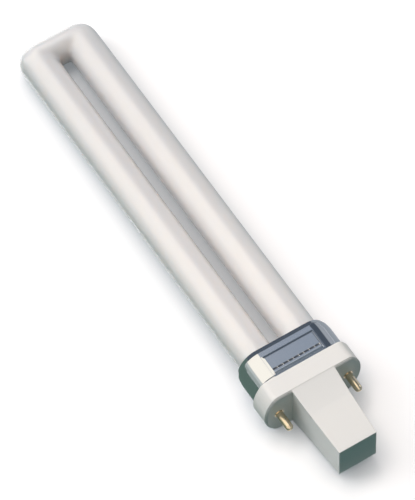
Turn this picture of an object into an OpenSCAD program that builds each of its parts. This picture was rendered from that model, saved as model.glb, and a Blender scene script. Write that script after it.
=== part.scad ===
// Two pin compact fluorescent lamp. The lamp lies on its back on the floor plane, millimetres throughout.
// Lamp axes before it is laid down: Y along the tube, away from the pins, with 0 at the cap's seat.
// X across the two legs, Z up out of the front face.

/* [Tube] */

// length of the glass above the collar
tube_length = 127.8; // [80:0.1:220]
// outside radius of the glass
tube_r = 5.6; // [4:0.1:8]
// distance between the axes of the two legs
leg_spacing = 14.6; // [13:0.1:16]
// half the thickness of the bridge that joins the legs at the far end
bridge_t = 4.4; // [3:0.1:5.5]
// length of the flat pinch that seals a leg inside the cap
pinch_l = 5; // [3:0.5:7]
// thickness of the pinch
pinch_t = 2.8; // [1.5:0.1:5]

/* [Cap] */

// how far each end of the flange stands out past the collar
flange_lip = 0.6; // [0.2:0.1:3]
// how far the front and the back of the flange stand out past the collar
flange_edge = 0.2; // [0:0.1:2]
// thickness of the flange from its seat to the collar
flange_h = 6.5; // [4:0.1:10]
// how far each end of the flange bulges out of square
end_bulge = 3.4; // [2:0.1:5]
// rounding of the corners in plan
corner_r = 2.6; // [1:0.1:4]
// width of the post where it leaves the flange
post_w = 14.2; // [12:0.1:17]
// how far the front and the back of the post stand behind those of the flange
post_inset = 0.8; // [0.2:0.1:2]
// width of the post at its end
post_end_w = 12.2; // [10:0.1:15]
// length of the post below the seat
post_length = 22.5; // [18:0.1:30]
// wall of the moulding
cap_wall = 1.2; // [0.8:0.1:1.6]
// thickness of the floor that the pins are riveted to
floor_t = 2.4; // [1.6:0.1:3.5]
// how far the moulding's spigot stops short of the collar's top
spigot_gap = 3; // [2:0.1:4]
// depth of the cement that holds the glass
cement_t = 4; // [3.2:0.1:6]

/* [Collar] */

// height of the metal collar above the flange
collar_h = 10.7; // [8:0.1:14]
// how far the collar reaches past the glass, all round
collar_margin = 2.5; // [2.2:0.1:5]
// how far each end of the collar bulges out of square
collar_bulge = 5; // [3:0.1:6]
// rounding of the collar's corners in plan
collar_r = 6; // [3:0.1:6.5]
// thickness of the sheet metal
sheet = 0.4; // [0.3:0.05:0.8]
// how far the bead at the seam and the panels stand out
bead = 0.2; // [0.1:0.05:0.3]
// width of the raised panels on the front and the back
panel_w = 16.4; // [10:0.2:17]

/* [Pins] */

// distance between the two contact pins
pin_spacing = 23; // [21:0.1:25]
// radius of a contact pin
pin_r = 1.15; // [0.8:0.05:1.6]
// length of a contact pin below the seat
pin_length = 6.2; // [4:0.1:9]

/* [Starter] */

// radius of the glow starter bottle
starter_r = 3; // [2:0.1:3.2]
// length of the glow starter bottle
starter_l = 13; // [8:0.5:14]
// width of the capacitor beside the starter
cap_w = 7; // [4:0.5:8]
// length of the capacitor
cap_l = 9; // [6:0.5:12]
// thickness of the capacitor
cap_t = 2.2; // [1:0.1:3]
// free space around the starter and the capacitor, front to back
starter_gap = 1.4; // [1.2:0.1:2]
// radius of the lead wires
wire_r = 0.25; // [0.15:0.05:0.4]

/* [Hidden] */

$fn = 64;

collar_w = leg_spacing + 2 * tube_r + 2 * collar_margin;
collar_d = 2 * tube_r + 2 * collar_margin;
flange_w = collar_w + 2 * flange_lip;
flange_d = collar_d + 2 * flange_edge;
post_d = flange_d - 2 * post_inset;
// the post's end is as deep as what it holds
post_end_d = 2 * cap_wall + 2 * starter_r + cap_t + starter_gap;
leg_x = leg_spacing / 2;
collar_top = flange_h + collar_h;
crown_y = collar_top + tube_length - tube_r;
pin_x = pin_spacing / 2;
pinch_y = 1.6 * floor_t + tube_r / 2 - 0.44;
slip = 0.03;
// the spigot of the moulding stands inside the collar
spigot_top = collar_top - spigot_gap;
spigot_in = bead + sheet + slip;
starter_z = -post_end_d / 2 + cap_wall + starter_r + 0.3;
starter_bottom = -post_length + cap_wall + 0.6;
join_y = -1;
join_x = 0.8 * starter_r;
// where the wires leave a pinch, to each side of the leg's axis
wire_x = 0.4 * tube_r;
// the pin's shoulder inside the cap
shoulder_r = pin_r + 0.9;
// the capacitor lies between the starter and the post's front wall
cap_z = starter_z + starter_r + 0.3;
cap_bottom = starter_bottom + starter_l - cap_l;

// the lamp rests on the back edge of the flange and on the tube's far end
lever = crown_y - flange_h;
rest_tilt = atan(flange_d / 2 / lever) - asin(tube_r / norm([lever, flange_d / 2]));
low_z = -flange_h * sin(rest_tilt) - flange_d / 2 * cos(rest_tilt);
near_y = -post_length * cos(rest_tilt) - post_end_d / 2 * sin(rest_tilt);
far_y = crown_y * cos(rest_tilt) + tube_r;

// lays a piece down on its back, with the floor at zero and the lamp's middle over the origin
module lay() {
  translate([0, -(near_y + far_y) / 2, -low_z])
    rotate([-rest_tilt, 0, 0])
      children();
}

// points of the plan outline: straight front and back, bulging ends, rounded corners
function end_r(d, b) = (d * d / 4 + b * b) / (2 * b);
function corner_x(w, d, b, r) = w / 2 - end_r(d, b) + sqrt(pow(end_r(d, b) - r, 2) - pow(d / 2 - r, 2));
function meet(w, d, b, r) = atan2(d / 2 - r, corner_x(w, d, b, r) - w / 2 + end_r(d, b));
function quarter(w, d, b, r) = concat(
  [for (i = [0:8]) let (t = meet(w, d, b, r) * i / 8)
    [w / 2 - end_r(d, b) + end_r(d, b) * cos(t), end_r(d, b) * sin(t)]],
  [for (i = [1:8]) let (m = meet(w, d, b, r), t = m + (90 - m) * i / 8)
    [corner_x(w, d, b, r) + r * cos(t), d / 2 - r + r * sin(t)]]);
function back(a) = [for (i = [len(a) - 1:-1:0]) a[i]];
function plan_points(w, d, b, r) = let (q = quarter(w, d, b, r)) concat(
  q,
  [for (p = back(q)) [-p[0], p[1]]],
  [for (i = [1:len(q) - 1]) [-q[i][0], -q[i][1]]],
  [for (i = [len(q) - 1:-1:1]) [q[i][0], -q[i][1]]]);

// a slab of a plan outline between two heights along the lamp, made smaller all round by inset
module plan_slab(y0, y1, w, d, b, r, inset) {
  translate([0, y1, 0])
    rotate([90, 0, 0])
      linear_extrude(y1 - y0)
        polygon(plan_points(w - 2 * inset, d - 2 * inset, b - 0.3 * inset, max(r - inset, 0.6)));
}

// a slab of the flange's outline
module slab(y0, y1, inset) {
  plan_slab(y0, y1, flange_w, flange_d, end_bulge, corner_r, inset);
}

// a slab of the collar's outline
module sleeve(y0, y1, inset) {
  plan_slab(y0, y1, collar_w, collar_d, collar_bulge, collar_r, inset);
}

// a block that tapers in width and in depth from y1 down to y0
module taper(y0, y1, w0, w1, d0, d1) {
  intersection() {
    translate([0, 0, -d1])
      linear_extrude(2 * d1)
        polygon([[-w0 / 2, y0], [w0 / 2, y0], [w1 / 2, y1], [-w1 / 2, y1]]);
    translate([-w1, 0, 0])
      rotate([90, 0, 90])
        linear_extrude(2 * w1)
          polygon([[y0, -d0 / 2], [y0, d0 / 2], [y1, d1 / 2], [y1, -d1 / 2]]);
  }
}

// a round rod along the lamp between two heights
module rod(x, z, y0, y1, r) {
  translate([x, y1, z])
    rotate([90, 0, 0])
      cylinder(h = y1 - y0, r = r);
}

// a straight wire between two points
module wire(a, b, r) {
  d = b - a;
  translate(a)
    rotate([0, acos(d[2] / norm(d)), atan2(d[1], d[0])])
      cylinder(h = norm(d), r = r, $fn = 16);
}

// one leg of the glass with its round shoulder
module leg(x) {
  translate([x, 0, 0])
    rotate([-90, 0, 0])
      rotate_extrude()
        intersection() {
          union() {
            translate([0, pinch_y + pinch_l])
              square([tube_r, crown_y - pinch_y - pinch_l]);
            translate([0, crown_y])
              circle(r = tube_r);
          }
          square([tube_r, crown_y + tube_r]);
        }
  // the pinch that seals the leg
  translate([x - 0.82 * tube_r, pinch_y, -pinch_t / 2])
    cube([1.64 * tube_r, pinch_l + 1, pinch_t]);
}

module discharge_tube() {
  color([0.93, 0.92, 0.9])
    union() {
      leg(-leg_x);
      leg(leg_x);
      // the bridge, as deep as the legs and slimmer along them
      translate([-leg_x, crown_y + tube_r - bridge_t - 0.05, 0])
        rotate([90, 0, 90])
          linear_extrude(leg_spacing)
            polygon([for (i = [0:59]) [bridge_t * cos(6 * i + 3), (tube_r - 0.05) * sin(6 * i + 3)]]);
    }
}

module metal_collar() {
  color([0.62, 0.66, 0.7])
    difference() {
      union() {
        sleeve(flange_h, collar_top - 0.5, bead);
        // the bead at the seam, and the raised panels on the front and the back
        sleeve(flange_h, flange_h + 0.6, 0);
        intersection() {
          sleeve(flange_h + 1, collar_top - 3.6, 0);
          translate([-panel_w / 2, flange_h, -collar_d])
            cube([panel_w, collar_h, 2 * collar_d]);
        }
        // the drawn edge at the top
        sleeve(collar_top - 0.6, collar_top - 0.2, bead + 0.2);
        sleeve(collar_top - 0.3, collar_top, bead + 0.5);
      }
      sleeve(flange_h - 1, collar_top - sheet, bead + sheet);
      rod(-leg_x, 0, collar_top - 2, collar_top + 1, tube_r + 0.2);
      rod(leg_x, 0, collar_top - 2, collar_top + 1, tube_r + 0.2);
      // the row of crimp marks above the lower bead, front and back
      for (s = [-1, 1])
        for (i = [-4:4])
          translate([i * panel_w / 9.5 - 0.65, flange_h + 2.1, s * collar_d / 2 - 0.15])
            cube([1.3, 0.6, 0.3]);
    }
}

module cap_housing() {
  color([0.93, 0.92, 0.88])
    difference() {
      union() {
        slab(0.5, flange_h, 0);
        slab(0.2, 0.6, 0.2);
        slab(0, 0.3, 0.5);
        sleeve(flange_h - 0.5, spigot_top, spigot_in);
        taper(-post_length, 0.3, post_end_w, post_w, post_end_d, post_d);
      }
      // the room for the tube ends
      sleeve(floor_t, spigot_top + 1, spigot_in + cap_wall);
      // the room for the starter, open to the room above
      taper(-post_length + cap_wall, floor_t + 0.5, post_end_w - 2 * cap_wall, post_w - 2 * cap_wall,
        post_end_d - 2 * cap_wall, post_d - 2 * cap_wall - 1);
      // the pin bores
      rod(-pin_x, 0, -1, floor_t + 1, pin_r + 0.35 + slip);
      rod(pin_x, 0, -1, floor_t + 1, pin_r + 0.35 + slip);
      // room for the shoulders of the pins
      rod(-pin_x, 0, floor_t, 2 * floor_t, shoulder_r + slip);
      rod(pin_x, 0, floor_t, 2 * floor_t, shoulder_r + slip);
    }
}

module tube_cement() {
  color([0.85, 0.83, 0.78])
    difference() {
      sleeve(collar_top - sheet - 0.05 - cement_t, collar_top - sheet - 0.05, spigot_in + cap_wall + 0.05);
      rod(-leg_x, 0, floor_t, collar_top, tube_r + slip);
      rod(leg_x, 0, floor_t, collar_top, tube_r + slip);
    }
}

module contact_pin(side) {
  color([0.8, 0.62, 0.28])
    translate([side * pin_x, 0, 0])
      rotate([-90, 0, 0])
        rotate_extrude()
          intersection() {
            union() {
              // the free end, with its round tip
              translate([0, -pin_length + pin_r])
                square([pin_r, pin_length - pin_r + 0.1]);
              translate([0, -pin_length + pin_r])
                circle(r = pin_r);
              // the body in the bore, the shoulder and the riveted tail
              square([pin_r + 0.35, floor_t + 0.6]);
              translate([0, floor_t])
                square([shoulder_r, 0.6]);
              translate([0, floor_t])
                square([pin_r, 1.4]);
            }
            translate([0, -pin_length])
              square([shoulder_r, pin_length + floor_t + 1.4]);
          }
}

module glow_starter() {
  color([0.8, 0.84, 0.86])
    union() {
      translate([0, 0, starter_z])
        rotate([-90, 0, 0])
          rotate_extrude()
            intersection() {
              union() {
                translate([0, starter_bottom + starter_r])
                  square([starter_r, starter_l - starter_r]);
                translate([0, starter_bottom + starter_r])
                  circle(r = starter_r);
              }
              translate([0, starter_bottom])
                square([starter_r, starter_l]);
            }
      rod(-join_x, starter_z, starter_bottom + starter_l - 0.5, join_y, wire_r);
      rod(join_x, starter_z, starter_bottom + starter_l - 0.5, join_y, wire_r);
    }
}

module starter_capacitor() {
  color([0.75, 0.45, 0.15])
    union() {
      translate([-cap_w / 2, cap_bottom, cap_z])
        cube([cap_w, cap_l, cap_t]);
      for (s = [-1, 1])
        wire([s * join_x, cap_bottom + cap_l - 0.3, cap_z + cap_t / 2],
          [s * join_x, join_y - 0.3, starter_z + 2 * wire_r + 0.15], wire_r);
    }
}

module pin_lead(side) {
  color([0.6, 0.6, 0.62])
    wire([side * (leg_x + wire_x), pinch_y - 0.15, 0], [side * (pin_x - 0.3), floor_t + 1.65, 0], wire_r);
}

module starter_lead(side) {
  color([0.6, 0.6, 0.62])
    wire([side * (leg_x - wire_x), pinch_y - 0.15, 0], [side * join_x, join_y + 0.15, starter_z], wire_r);
}

lay() discharge_tube();
lay() metal_collar();
lay() cap_housing();
lay() tube_cement();
lay() contact_pin(-1);  // left_contact_pin
lay() contact_pin(1);  // right_contact_pin
lay() glow_starter();
lay() starter_capacitor();
lay() pin_lead(-1);  // left_pin_lead
lay() pin_lead(1);  // right_pin_lead
lay() starter_lead(-1);  // left_starter_lead
lay() starter_lead(1);  // right_starter_lead
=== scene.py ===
import math
import bmesh
import bpy
from mathutils import Matrix, Vector


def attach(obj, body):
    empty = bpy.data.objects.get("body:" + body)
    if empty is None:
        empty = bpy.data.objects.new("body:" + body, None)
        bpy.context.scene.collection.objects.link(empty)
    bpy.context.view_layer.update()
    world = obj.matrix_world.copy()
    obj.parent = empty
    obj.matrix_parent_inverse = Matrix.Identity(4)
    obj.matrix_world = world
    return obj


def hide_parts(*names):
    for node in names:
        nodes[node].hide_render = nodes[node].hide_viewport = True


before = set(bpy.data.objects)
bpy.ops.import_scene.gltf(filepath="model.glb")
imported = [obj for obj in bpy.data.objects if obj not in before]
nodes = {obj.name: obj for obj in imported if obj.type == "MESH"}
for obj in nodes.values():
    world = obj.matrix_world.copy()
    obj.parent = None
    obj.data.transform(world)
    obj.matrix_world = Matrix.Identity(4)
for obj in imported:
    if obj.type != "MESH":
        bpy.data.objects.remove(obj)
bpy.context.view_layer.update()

# Sizes of the lamp, in millimetres, the same as in the part's source.
TUBE_LENGTH = 127.8
TUBE_R = 5.6
LEG_SPACING = 14.6
FLANGE_D = 16.6
FLANGE_H = 6.5
COLLAR_H = 10.7
COLLAR_W = 30.8
COLLAR_D = 16.2
COLLAR_BULGE = 5.0
COLLAR_R = 6.0
PANEL_W = 16.4
SHEET = 0.4
BEAD = 0.2
POST_W = 14.2
POST_INSET = 0.8
POST_END_W = 12.2
POST_LENGTH = 22.5
POST_END_D = 12.0
COLLAR_TOP = FLANGE_H + COLLAR_H
CROWN_Y = COLLAR_TOP + TUBE_LENGTH - TUBE_R

# How the lamp lies: on the flange's back edge and the tube's far end.
LEVER = CROWN_Y - FLANGE_H
TILT = math.atan(FLANGE_D / 2 / LEVER) - math.asin(TUBE_R / math.hypot(LEVER, FLANGE_D / 2))
LOW_Z = -FLANGE_H * math.sin(TILT) - FLANGE_D / 2 * math.cos(TILT)
NEAR_Y = -POST_LENGTH * math.cos(TILT) - POST_END_D / 2 * math.sin(TILT)
FAR_Y = CROWN_Y * math.cos(TILT) + TUBE_R
LAY = (
    Matrix.Translation((0, -(NEAR_Y + FAR_Y) / 2000, -LOW_Z / 1000))
    @ Matrix.Rotation(-TILT, 4, "X")
    @ Matrix.Scale(0.001, 4)
)


def at(x, y, z):
    """A point of the lamp's own millimetre axes, where it lies."""
    return LAY @ Vector((x, y, z))


# The camera, in the lamp's own axes: it looks down on the front face from beside the post.
AZIMUTH = math.radians(-29.5)
ELEVATION = math.radians(57.9)
ROLL = math.radians(-2.96)
DISTANCE = 1030.0
LENS = 3674 / 500 * 36
SHIFT_RIGHT = 29.8
SHIFT_UP = -40.4

back = Vector((
    math.sin(AZIMUTH) * math.cos(ELEVATION),
    -math.cos(AZIMUTH) * math.cos(ELEVATION),
    math.sin(ELEVATION),
))
level = Vector((math.cos(AZIMUTH), math.sin(AZIMUTH), 0))
upright = back.cross(level)
right = level * math.cos(ROLL) + upright * math.sin(ROLL)
up = back.cross(right)
place = back * DISTANCE - right * SHIFT_RIGHT - up * SHIFT_UP
turn = Matrix((right, up, back)).transposed()
turn = (Matrix.Rotation(-TILT, 3, "X") @ turn).to_4x4()

camera_data = bpy.data.cameras.new("camera")
camera_data.sensor_width = 36
camera_data.lens = LENS
camera_data.clip_start = 0.05
camera_data.clip_end = 20
camera = bpy.data.objects.new("camera", camera_data)
bpy.context.collection.objects.link(camera)
camera.matrix_world = Matrix.Translation(LAY @ place) @ turn
bpy.context.scene.camera = camera


def material(name):
    """A node material with only its Principled shader and output."""
    m = bpy.data.materials.new(name)
    m.use_nodes = True
    return m, m.node_tree.nodes, m.node_tree.links, m.node_tree.nodes["Principled BSDF"]


def surface(shader, colour, rough, metal=0.0, coat=0.0, spec=0.5):
    shader.inputs["Base Color"].default_value = (*colour, 1)
    shader.inputs["Roughness"].default_value = rough
    shader.inputs["Metallic"].default_value = metal
    shader.inputs["Coat Weight"].default_value = coat
    shader.inputs["Specular IOR Level"].default_value = spec


def object_point(nodes_, links_):
    """Coordinates of the row, so that patterns stay on the lamp."""
    coord = nodes_.new("ShaderNodeTexCoord")
    return coord.outputs["Object"]


def fine_bump(m_nodes, m_links, shader, scale, strength, depth=0.00002):
    """A fine moulded or drawn grain."""
    noise = m_nodes.new("ShaderNodeTexNoise")
    noise.inputs["Scale"].default_value = scale
    noise.inputs["Detail"].default_value = 3
    m_links.new(object_point(m_nodes, m_links), noise.inputs["Vector"])
    bump = m_nodes.new("ShaderNodeBump")
    bump.inputs["Strength"].default_value = strength
    bump.inputs["Distance"].default_value = depth
    m_links.new(noise.outputs["Fac"], bump.inputs["Height"])
    m_links.new(bump.outputs["Normal"], shader.inputs["Normal"])
    return noise, bump


def rounded(m_nodes, m_links, shader, radius, bump=None):
    """Soft edges in the shading."""
    bevel = m_nodes.new("ShaderNodeBevel")
    bevel.samples = 8
    bevel.inputs["Radius"].default_value = radius
    if bump is None:
        m_links.new(bevel.outputs["Normal"], shader.inputs["Normal"])
    else:
        m_links.new(bevel.outputs["Normal"], bump.inputs["Normal"])


# Glass with the white coating seen through it.
glass, gn, gl, gs = material("coated glass")
surface(gs, (0.765, 0.712, 0.687), 0.32, coat=1.0)
gs.inputs["Subsurface Weight"].default_value = 1.0
gs.inputs["Subsurface Radius"].default_value = (0.004, 0.0036, 0.0032)
gs.inputs["Subsurface Scale"].default_value = 2.5
gs.inputs["Coat Roughness"].default_value = 0.2
gs.inputs["Coat IOR"].default_value = 1.8
noise, bump = fine_bump(gn, gl, gs, 900, 0.05)
# The base colour is painted greyer towards the crown: painted shade on the far end, which gets less light.
along = gn.new("ShaderNodeSeparateXYZ")
gl.new(object_point(gn, gl), along.inputs[0])
crown_shade = gn.new("ShaderNodeMapRange")
crown_shade.inputs["From Min"].default_value = -0.02
crown_shade.inputs["From Max"].default_value = 0.075
gl.new(along.outputs["Y"], crown_shade.inputs["Value"])
coating = gn.new("ShaderNodeMix")
coating.data_type = "RGBA"
coating.inputs["A"].default_value = (0.765, 0.712, 0.687, 1)
coating.inputs["B"].default_value = (0.675, 0.645, 0.637, 1)
gl.new(crown_shade.outputs["Result"], coating.inputs["Factor"])
gl.new(coating.outputs["Result"], gs.inputs["Base Color"])

# Drawn and polished sheet.
collar, cn, cl, cs = material("drawn aluminium")
surface(cs, (0.64, 0.67, 0.71), 0.11, metal=1.0)
noise, bump = fine_bump(cn, cl, cs, 260, 0.06, 0.0001)

# The bottoms of the crimp marks: a darker, duller metal as painted shade in the dents.
crimp_shade, hn, hl, hs = material("crimp painted shade")
surface(hs, (0.12, 0.135, 0.165), 0.4, metal=1.0)
fine_bump(hn, hl, hs, 260, 0.1, 0.0001)

# Moulded cap.
cap, pn, pl, ps = material("moulded plastic")
surface(ps, (0.80, 0.757, 0.715), 0.34, spec=0.5)
ps.inputs["Subsurface Weight"].default_value = 0.15
ps.inputs["Subsurface Radius"].default_value = (0.003, 0.0028, 0.0024)
ps.inputs["Subsurface Scale"].default_value = 0.4
noise, bump = fine_bump(pn, pl, ps, 700, 0.08)
rounded(pn, pl, ps, 0.0003, bump)

brass, bn, bl, bs = material("brass")
surface(bs, (0.72, 0.62, 0.46), 0.2, metal=1.0)
noise, bump = fine_bump(bn, bl, bs, 900, 0.1)

cement, en, el, es = material("cement")
surface(es, (0.72, 0.70, 0.64), 0.9)
fine_bump(en, el, es, 500, 0.5, 0.0001)

bottle, on, ol, os_ = material("starter glass")
surface(os_, (0.82, 0.86, 0.88), 0.06)
os_.inputs["Transmission Weight"].default_value = 0.8
fine_bump(on, ol, os_, 300, 0.02)

dipped, dn, dl, ds = material("dipped coating")
surface(ds, (0.62, 0.30, 0.08), 0.3, coat=0.4)
fine_bump(dn, dl, ds, 300, 0.2, 0.0001)

lead, wn, wl, ws = material("lead wire")
surface(ws, (0.62, 0.62, 0.64), 0.3, metal=1.0)
fine_bump(wn, wl, ws, 900, 0.1)

LOOKS = {
    "discharge_tube": glass,
    "metal_collar": collar,
    "cap_housing": cap,
    "tube_cement": cement,
    "left_contact_pin": brass,
    "right_contact_pin": brass,
    "glow_starter": bottle,
    "starter_capacitor": dipped,
    "left_pin_lead": lead,
    "right_pin_lead": lead,
    "left_starter_lead": lead,
    "right_starter_lead": lead,
}
for name, look in LOOKS.items():
    for slot in nodes[name].material_slots:
        slot.material = look

# The glass is shown as one smooth skin over the tube's own solid, with no crease where the bridge meets the legs.
tube = nodes["discharge_tube"].copy()
tube.data = nodes["discharge_tube"].data.copy()
tube.name = "glass_tube"
bpy.context.collection.objects.link(tube)
tube.data.materials.clear()
tube.data.materials.append(glass)
skin = tube.modifiers.new("skin", "REMESH")
skin.mode = "VOXEL"
skin.voxel_size = 0.0005
skin.use_smooth_shade = True
relax = tube.modifiers.new("relax", "SMOOTH")
relax.factor = 0.5
relax.iterations = 12
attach(tube, "root")
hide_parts("discharge_tube")


def plan(w, d, bulge, r, inset):
    """The collar's outline: straight front and back, bulging ends and rounded corners."""
    w -= 2 * inset
    d -= 2 * inset
    bulge -= 0.3 * inset
    r -= inset
    end = (d * d / 4 + bulge * bulge) / (2 * bulge)
    mid = w / 2 - end
    corner = mid + math.sqrt((end - r) ** 2 - (d / 2 - r) ** 2)
    meet = math.atan2(d / 2 - r, corner - mid)
    quarter = []
    for i in range(13):
        t = meet * i / 12
        quarter.append((mid + end * math.cos(t), end * math.sin(t)))
    for i in range(1, 13):
        t = meet + (math.pi / 2 - meet) * i / 12
        quarter.append((corner + r * math.cos(t), d / 2 - r + r * math.sin(t)))
    last = quarter[-1][0]
    for x in (PANEL_W / 2 + 0.15, PANEL_W / 2, PANEL_W / 2 - 0.15):
        quarter.append((x, d / 2))
    for i in range(1, 41):
        quarter.append(((PANEL_W / 2 - 0.15) * (1 - i / 40), d / 2))
    half = quarter + [(-x, z) for x, z in reversed(quarter[:-1])]
    return half + [(x, -z) for x, z in reversed(half[1:-1])]


def crimp(x, y):
    """Depth of the row of crimp marks on the raised panels."""
    if abs(x) > 7.9 or abs(y - FLANGE_H - 2.4) > 0.27:
        return 0.0
    return 0.15 if math.cos(2 * math.pi * x / 1.73) > -0.75 else 0.0


def panel(x, y):
    """How far the raised panels on the front and the back stand out."""
    side = min(1.0, max(0.0, (PANEL_W / 2 + 0.15 - abs(x)) / 0.3))
    foot = min(1.0, max(0.0, (y - FLANGE_H - 0.85) / 0.3))
    head = min(1.0, max(0.0, (COLLAR_TOP - 3.2 - y) / 0.8))
    return 0.26 * side * foot * head


# Heights and insets of the drawn wall, from the seam up over the top edge to the tube holes.
top = COLLAR_TOP
WALL = [(FLANGE_H, 0.25), (FLANGE_H + 0.1, 0.06), (FLANGE_H + 0.3, 0.0), (FLANGE_H + 0.5, 0.08), (FLANGE_H + 0.7, BEAD)]
WALL += [(FLANGE_H + 0.85, BEAD), (FLANGE_H + 0.95, BEAD), (FLANGE_H + 1.05, BEAD), (FLANGE_H + 1.15, BEAD), (FLANGE_H + 1.6, BEAD)]
WALL += [(FLANGE_H + 2.04 + 0.08 * i, BEAD) for i in range(10)]
WALL += [(FLANGE_H + 3.2 + 0.5 * i, BEAD) for i in range(7)]
WALL += [(top - 4.05, BEAD), (top - 3.95, BEAD), (top - 3.6, BEAD), (top - 3.25, BEAD + 0.02), (top - 3.1, BEAD + 0.04), (top - 2.9, BEAD + 0.06)]
WALL += [(top - 2.3, BEAD + 0.12), (top - 1.6, BEAD + 0.2), (top - 1.4, BEAD + 0.24), (top - 1.25, BEAD + 0.29), (top - 1.15, BEAD + 0.33)]
WALL += [(top - 0.6, BEAD + 0.56), (top, BEAD + 0.81)]
rings = [(y, plan(COLLAR_W, COLLAR_D, COLLAR_BULGE, COLLAR_R, inset)) for y, inset in WALL]
count = len(rings[0][1])
verts = []
depth_at = {}
for y, ring in rings:
    for x, z in ring:
        depth_at[len(verts)] = crimp(x, y) if abs(z) > 5 else 0.0
        out = panel(x, y) if abs(z) > 5 else 0.0
        verts.append(at(x, y, z + math.copysign(out - depth_at[len(verts)], z)))
faces = []
for j in range(len(rings) - 1):
    for i in range(count):
        k = (i + 1) % count
        faces.append((j * count + i, j * count + k, (j + 1) * count + k, (j + 1) * count + i))
# The inside of the wall, back down to the seam, and the flat top with its two tube holes.
INSIDE = [(FLANGE_H, BEAD + SHEET), (top - 1.7, BEAD + SHEET), (top - SHEET, BEAD + SHEET + 0.75)]
base = len(verts)
for y, inset in INSIDE:
    for x, z in plan(COLLAR_W, COLLAR_D, COLLAR_BULGE, COLLAR_R, inset):
        verts.append(at(x, y, z))
lid_in = base + (len(INSIDE) - 1) * count
for i in range(count):
    k = (i + 1) % count
    faces.append((i, base + i, base + k, k))
    for low in range(base, lid_in, count):
        faces.append((low + i, low + count + i, low + count + k, low + k))
wall_mesh = bpy.data.meshes.new("collar_wall")
wall_mesh.from_pydata([tuple(v) for v in verts], [], faces)
bm = bmesh.new()
bm.from_mesh(wall_mesh)
bm.verts.ensure_lookup_table()
lid_out = (len(rings) - 1) * count
for start, height in ((lid_out, top), (lid_in, top - SHEET)):
    bm.verts.ensure_lookup_table()
    outer = [bm.verts[start + i] for i in range(count)]
    edges = [bm.edges.get((outer[i], outer[(i + 1) % count])) for i in range(count)]
    for side in (-1, 1):
        hole = []
        for i in range(48):
            t = 2 * math.pi * i / 48
            hole.append(bm.verts.new(at(side * LEG_SPACING / 2 + (TUBE_R + 0.2) * math.cos(t), height, (TUBE_R + 0.2) * math.sin(t))))
        edges += [bm.edges.new((hole[i], hole[(i + 1) % 48])) for i in range(48)]
    bmesh.ops.triangle_fill(bm, edges=edges, use_beauty=True)
bmesh.ops.recalc_face_normals(bm, faces=bm.faces)
bm.to_mesh(wall_mesh)
bm.free()
for p in wall_mesh.polygons:
    p.use_smooth = len(p.vertices) == 4
for e in wall_mesh.edges:
    e.use_edge_sharp = all(lid_out <= v < lid_out + count for v in e.vertices)
wall_mesh.materials.append(collar)
wall_mesh.materials.append(crimp_shade)
# Faces at the bottoms of the crimp marks take the darker metal, painted shade in the dents.
for p in wall_mesh.polygons:
    if max(depth_at.get(v, 0.0) for v in p.vertices) > 0.05:
        p.material_index = 1
sleeve = bpy.data.objects.new("collar_sleeve", wall_mesh)
bpy.context.collection.objects.link(sleeve)
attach(sleeve, "root")
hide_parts("metal_collar")

# A moulded ramp eases the step between the flange and the post, front and back.
RAMP_TOP = 0.62
RAMP_LENGTH = 10.0
RAMP_STEPS = 16
RAMP_ROOT = 0.6


def post_share(y):
    """How far down the post a height is, from 0 where it leaves the flange to 1 at its end."""
    return (0.3 - y) / (POST_LENGTH + 0.3)


def post_side(y):
    return (POST_W + (POST_END_W - POST_W) * post_share(y)) / 2


def post_front(y):
    post_d = FLANGE_D - 2 * POST_INSET
    return (post_d + (POST_END_D - post_d) * post_share(y)) / 2


# The ramp leaves the flange flush and sinks into the post's face.
profile = []
for i in range(RAMP_STEPS + 1):
    share = i / RAMP_STEPS
    y = RAMP_TOP - RAMP_LENGTH * share
    step = FLANGE_D / 2 - post_front(RAMP_TOP)
    profile.append((y, post_front(y) + step * (1 - share) ** 1.6 - 0.02 * share))
ramp_verts = []
ramp_faces = []
across = RAMP_STEPS + 1
for face in (-1, 1):
    start = len(ramp_verts)
    for edge in (-1, 1):
        for sink in (0, RAMP_ROOT):
            for y, z in profile:
                ramp_verts.append(at(edge * post_side(y), y, face * (z - sink)))
    left, left_root, other, other_root = (start + i * across for i in range(4))
    for i in range(RAMP_STEPS):
        ramp_faces.append((left + i, left + i + 1, other + i + 1, other + i))
        ramp_faces.append((left_root + i, left_root + i + 1, other_root + i + 1, other_root + i))
        ramp_faces.append((left + i, left + i + 1, left_root + i + 1, left_root + i))
        ramp_faces.append((other + i, other + i + 1, other_root + i + 1, other_root + i))
    for i in (0, RAMP_STEPS):
        ramp_faces.append((left + i, other + i, other_root + i, left_root + i))
ramp_mesh = bpy.data.meshes.new("cap_ramps")
ramp_mesh.from_pydata([tuple(v) for v in ramp_verts], [], ramp_faces)
bm = bmesh.new()
bm.from_mesh(ramp_mesh)
bmesh.ops.recalc_face_normals(bm, faces=bm.faces)
bm.to_mesh(ramp_mesh)
bm.free()
ramp_mesh.materials.append(cap)
ramps = bpy.data.objects.new("cap_ramps", ramp_mesh)
bpy.context.collection.objects.link(ramps)
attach(ramps, "root")

# The floor is a muted green grey; the camera, metal and glass see it as white with the lamp's shadow.
floor_mesh = bpy.data.meshes.new("floor")
floor_mesh.from_pydata([(-3, -3, 0), (3, -3, 0), (3, 3, 0), (-3, 3, 0)], [], [(0, 1, 2, 3)])
floor = bpy.data.objects.new("floor", floor_mesh)
bpy.context.collection.objects.link(floor)
floor_look, fn_, fl_, fs_ = material("floor")
surface(fs_, (0.085, 0.175, 0.175), 0.9, spec=0.1)
shown = fn_.new("ShaderNodeBsdfDiffuse")
lift = fn_.new("ShaderNodeEmission")
lift.inputs["Strength"].default_value = 0.28
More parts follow.
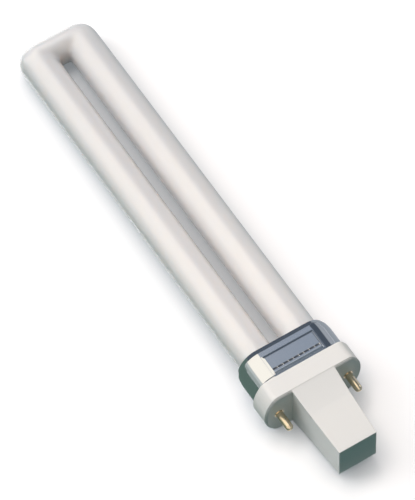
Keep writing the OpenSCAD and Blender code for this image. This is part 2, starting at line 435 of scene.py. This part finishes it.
# Close under the lamp the floor is painted a little darker and cooler: painted contact shade from ambient occlusion,
# added to the lamp's real shadow.
contact_shade = fn_.new("ShaderNodeAmbientOcclusion")
contact_shade.inputs["Distance"].default_value = 0.008
contact_shade.samples = 8
for target, close, free in (
    (shown, (0.54, 0.575, 0.61, 1), (0.88, 0.875, 0.875, 1)),
    (lift, (0.61, 0.65, 0.69, 1), (0.84, 0.73, 0.68, 1)),
):
    tone = fn_.new("ShaderNodeMix")
    tone.data_type = "RGBA"
    tone.inputs["A"].default_value = close
    tone.inputs["B"].default_value = free
    fl_.new(contact_shade.outputs["AO"], tone.inputs["Factor"])
    fl_.new(tone.outputs["Result"], target.inputs["Color"])
both = fn_.new("ShaderNodeAddShader")
fl_.new(shown.outputs[0], both.inputs[0])
fl_.new(lift.outputs[0], both.inputs[1])


def seen_directly(n, l):
    """One on camera, glossy and transmission rays, nought on the others."""
    path = n.new("ShaderNodeLightPath")
    first = n.new("ShaderNodeMath")
    first.operation = "MAXIMUM"
    second = n.new("ShaderNodeMath")
    second.operation = "MAXIMUM"
    l.new(path.outputs["Is Camera Ray"], first.inputs[0])
    l.new(path.outputs["Is Glossy Ray"], first.inputs[1])
    l.new(first.outputs[0], second.inputs[0])
    l.new(path.outputs["Is Transmission Ray"], second.inputs[1])
    return second.outputs[0]


floor_mix = fn_.new("ShaderNodeMixShader")
fl_.new(seen_directly(fn_, fl_), floor_mix.inputs["Fac"])
fl_.new(fs_.outputs[0], floor_mix.inputs[1])
fl_.new(both.outputs[0], floor_mix.inputs[2])
fl_.new(floor_mix.outputs[0], fn_["Material Output"].inputs["Surface"])
floor_mesh.materials.append(floor_look)

# The world: white where the camera sees it; it lights the lamp softly, most from above and least from beside the post.
world = bpy.data.worlds.new("studio")
bpy.context.scene.world = world
world.use_nodes = True
wn = world.node_tree.nodes
wk = world.node_tree.links
plain = wn["Background"]
plain.inputs["Color"].default_value = (1, 1, 1, 1)
plain.inputs["Strength"].default_value = 1.0
sky = wn.new("ShaderNodeBackground")
sky.inputs["Strength"].default_value = 1.0
coord = wn.new("ShaderNodeTexCoord")
split = wn.new("ShaderNodeSeparateXYZ")
wk.new(coord.outputs["Generated"], split.inputs[0])
side = wn.new("ShaderNodeMath")
side.operation = "MULTIPLY_ADD"
wk.new(split.outputs["X"], side.inputs[0])
side.inputs[1].default_value = -0.2
wk.new(split.outputs["Z"], side.inputs[2])
lean = wn.new("ShaderNodeMath")
lean.operation = "MULTIPLY_ADD"
wk.new(split.outputs["Y"], lean.inputs[0])
lean.inputs[1].default_value = 0.75
wk.new(side.outputs[0], lean.inputs[2])
ramp = wn.new("ShaderNodeValToRGB")
ramp.color_ramp.elements[0].position = 0.0
ramp.color_ramp.elements[0].color = (0.02, 0.074, 0.066, 1)
ramp.color_ramp.elements[1].position = 0.9
ramp.color_ramp.elements[1].color = (0.78, 0.80, 0.85, 1)
middle = ramp.color_ramp.elements.new(0.35)
middle.color = (0.13, 0.19, 0.21, 1)
wk.new(lean.outputs[0], ramp.inputs["Fac"])
wk.new(ramp.outputs["Color"], sky.inputs["Color"])
world_mix = wn.new("ShaderNodeMixShader")
wk.new(seen_directly(wn, wk), world_mix.inputs["Fac"])
wk.new(sky.outputs[0], world_mix.inputs[1])
wk.new(plain.outputs[0], world_mix.inputs[2])
wk.new(world_mix.outputs[0], wn["World Output"].inputs["Surface"])


def area(name, place_mm, aim_mm, w, h, power, colour=(1, 1, 1)):
    data = bpy.data.lights.new(name, "AREA")
    data.shape = "RECTANGLE"
    data.size = w
    data.size_y = h
    data.energy = power
    data.color = colour
    o = bpy.data.objects.new(name, data)
    bpy.context.collection.objects.link(o)
    o.location = at(*place_mm)
    way = at(*aim_mm) - o.location
    o.rotation_euler = way.to_track_quat("-Z", "Y").to_euler()
    return o


softbox = area("softbox", (-270, 560, 1700), (0, 40, 0), 1.4, 0.6, 13.1, (1, 0.93, 0.875))
softbox.visible_glossy = False
left_fill = area("left_fill", (-580, 460, 480), (0, 0, 0), 0.5, 0.5, 2.3, (0.93, 0.99, 1))
left_fill.visible_glossy = False
area("right_fill", (700, 40, 300), (0, 40, 0), 0.5, 0.5, 0.9, (1, 0.97, 0.95))


def shine(name, m, colour):
    """Makes a mesh a card off camera that only the shine of the lamp shows."""
    o = bpy.data.objects.new(name, m)
    bpy.context.collection.objects.link(o)
    look, n, l, s = material(name)
    s.inputs["Base Color"].default_value = (0, 0, 0, 1)
    s.inputs["Specular IOR Level"].default_value = 0.0
    s.inputs["Emission Color"].default_value = (*colour, 1)
    s.inputs["Emission Strength"].default_value = 1.0
    m.materials.append(look)
    o.visible_camera = False
    o.visible_diffuse = False
    o.visible_shadow = False
    return o


def flat_card(name, x, y, w, h, colour):
    """A card that lies level, just above the floor."""
    m = bpy.data.meshes.new(name)
    m.from_pydata([(-w / 2, -h / 2, 0), (w / 2, -h / 2, 0), (w / 2, h / 2, 0), (-w / 2, h / 2, 0)], [], [(0, 1, 2, 3)])
    o = shine(name, m, colour)
    o.location = (x, y, 0.0002)
    return o


def mirrored(b, a):
    """Where the camera sees to by way of a polished wall turned b degrees to the right and a degrees to the far end."""
    b = math.radians(b)
    a = math.radians(a)
    n = Vector((math.sin(b) * math.cos(a), math.sin(a), math.cos(b) * math.cos(a)))
    return 2 * n.dot(back) * n - back


def strip(name, b0, b1, a0, a1, colour):
    """A curved card off camera, which polished walls turned between these angles mirror."""
    across = 10
    along = 6
    points = []
    for j in range(along + 1):
        for i in range(across + 1):
            way = mirrored(b0 + (b1 - b0) * i / across, a0 + (a1 - a0) * j / along)
            way.z = max(way.z, 0.01)
            points.append(at(*(Vector((0, 12, 8)) + way * 1200)))
    quads = []
    for j in range(along):
        for i in range(across):
            k = j * (across + 1) + i
            quads.append((k, k + 1, k + across + 2, k + across + 1))
    m = bpy.data.meshes.new(name)
    m.from_pydata([tuple(p) for p in points], [], quads)
    return shine(name, m, colour)


# The front of the collar mirrors a slate grey card, its left corner a cream one, its edges and right corner dark ones.
strip("card_front", -1.5, 2.5, -5, 12, (0.37, 0.42, 0.50))
strip("card_cream", -40, -1.5, -8, 12, (1.45, 1.33, 1.14))
strip("card_dark", 2.5, 20, -8, 12, (0.09, 0.11, 0.14))
strip("card_grey", 20, 37, -8, 12, (0.46, 0.48, 0.51))
strip("card_far", -60, 45, 12, 29, (0.11, 0.13, 0.16))
strip("card_left", -56, -47, -8, 12, (0.48, 0.53, 0.49))
strip("card_left_pale", -47, -40, -8, 12, (0.70, 0.73, 0.68))
strip("card_top_left", -56, -1.5, -50, -8, (1.1, 1.0, 0.88))
strip("card_top", -1.5, 40, -50, -8, (0.16, 0.20, 0.24))
flat_card("card_low_right", 0.3165, 0.2, 0.6, 1.1, (0.42, 0.45, 0.48))
flat_card("card_low_left", -0.6163, 0.44, 1.2, 1.6, (0.145, 0.215, 0.18))
flat_card("card_low_front", 0.02, -0.186, 0.3, 0.2, (0.02, 0.07, 0.06))

scene = bpy.context.scene
scene.view_settings.view_transform = "Standard"
bpy.context.view_layer.update()
